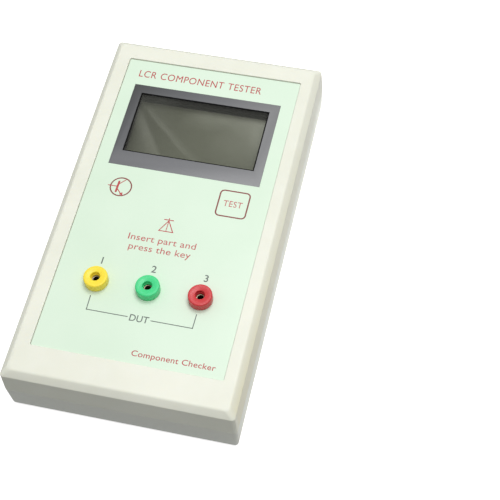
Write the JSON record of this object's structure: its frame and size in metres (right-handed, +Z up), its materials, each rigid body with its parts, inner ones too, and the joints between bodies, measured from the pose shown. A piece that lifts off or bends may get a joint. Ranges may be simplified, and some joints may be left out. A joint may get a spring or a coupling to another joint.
{
  "type": "lcr meter",
  "caption": "Hand-held component tester: two-part case, recessed display window, membrane TEST key, 2 mm test sockets in a row, battery bay and circuit board inside.",
  "frame": {"origin": "centre of the case's footprint on the face it rests on", "axes": "+Z up through the front panel, +Y towards the display end, +X to the right as the legends are read"},
  "size_m": [0.0836, 0.1512, 0.0286],
  "materials": {
    "case_plastic": "light ivory ABS, fine satin moulding",
    "printed_film": "pale mint printed polyester film, satin",
    "mask_grey": "mid grey print, satin",
    "clear_window": "clear acrylic, polished",
    "lcd_glass": "olive grey reflective display glass",
    "black_steel": "black painted sheet steel",
    "yellow_plastic": "yellow moulded plastic",
    "green_plastic": "green moulded plastic",
    "red_plastic": "red moulded plastic",
    "nickel_brass": "nickel plated brass",
    "bright_steel": "bright plated steel",
    "zinc_steel": "zinc plated steel",
    "board_green": "green lacquered glass epoxy",
    "black_plastic": "black moulded plastic",
    "white_plastic": "white moulded plastic",
    "blue_plastic": "blue moulded plastic",
    "resistor_blue": "blue lacquer",
    "capacitor_sleeve": "dark shrink sleeve over an aluminium can",
    "battery_sleeve": "dark printed steel sleeve, plain",
    "clip_vinyl": "black soft vinyl",
    "red_insulation": "red wire insulation",
    "black_insulation": "black wire insulation",
    "foam": "dark closed cell foam"
  },
  "bodies": {
    "case": {"front_shell": "case_plastic", "back_shell": "case_plastic", "overlay_film": "printed_film", "display_mask": "mask_grey", "display_lens": "clear_window", "switch_body": "black_plastic", "lcd_frame": "black_steel", "lcd_glass": "lcd_glass", "lcd_backlight": "white_plastic", "lcd_board": "board_green", "lcd_header": "black_plastic", "main_board": "board_green", "chip_socket": "black_plastic", "microcontroller": "black_plastic", "crystal": "bright_steel", "filter_capacitor_1": "capacitor_sleeve", "filter_capacitor_2": "capacitor_sleeve", "voltage_regulator": "black_plastic", "trimmer_body": "blue_plastic", "resistor_1": "resistor_blue", "resistor_2": "resistor_blue", "resistor_3": "resistor_blue", "resistor_4": "resistor_blue", "resistor_5": "resistor_blue", "resistor_6": "resistor_blue", "case_screw_front_left": "zinc_steel", "case_screw_front_right": "zinc_steel", "case_screw_rear_left": "zinc_steel", "case_screw_rear_right": "zinc_steel", "board_screw_front_left": "zinc_steel", "board_screw_front_right": "zinc_steel", "board_screw_rear_left": "zinc_steel", "board_screw_rear_right": "zinc_steel", "socket_1_yellow_body": "yellow_plastic", "socket_2_green_body": "green_plastic", "socket_3_red_body": "red_plastic", "socket_1_contact": "nickel_brass", "socket_2_contact": "nickel_brass", "socket_3_contact": "nickel_brass", "socket_1_nut": "nickel_brass", "socket_2_nut": "nickel_brass", "socket_3_nut": "nickel_brass", "socket_1_lead": "yellow_plastic", "socket_2_lead": "green_plastic", "socket_3_lead": "red_plastic", "battery_9v": "battery_sleeve", "battery_terminal_positive": "bright_steel", "battery_terminal_negative": "bright_steel", "battery_clip": "clip_vinyl", "battery_lead_red": "red_insulation", "battery_lead_black": "black_insulation", "battery_foam": "foam"},
    "battery_door": {"battery_door": "case_plastic"},
    "door_catch": {"door_catch": "case_plastic"},
    "test_key": {"test_key": "printed_film"},
    "switch_stem": {"switch_stem": "black_plastic", "key_cap": "white_plastic"},
    "contrast_trimmer": {"trimmer_rotor": "white_plastic"}
  },
  "joints": [
    {"name": "battery_door_hinge", "type": "hinge", "parent": "case", "child": "battery_door", "pos_m": [0, -0.0438, 0.001], "axis": [1, 0, 0], "range_deg": [0, 90]},
    {"name": "door_catch_press", "type": "slide", "parent": "battery_door", "child": "door_catch", "axis": [0, 1, 0], "range_m": [0, 0.0008], "stiffness_N_per_m": 2000, "springref_m": -0.0001},
    {"name": "switch_press", "type": "slide", "parent": "case", "child": "switch_stem", "axis": [0, 0, -1], "range_m": [0, 0.0003], "stiffness_N_per_m": 3000, "springref_m": -0.0001},
    {"name": "test_key_press", "type": "slide", "parent": "case", "child": "test_key", "axis": [0, 0, -1], "range_m": [0, 0.0003]},
    {"name": "contrast_turn", "type": "hinge", "parent": "case", "child": "contrast_trimmer", "pos_m": [-0.025, 0.0052, 0.008], "axis": [0, 0, 1], "range_deg": [-135, 135]}
  ],
  "couplings": [
    {"joint": "test_key_press", "follows": "switch_press", "ratio": 1}
  ]
}
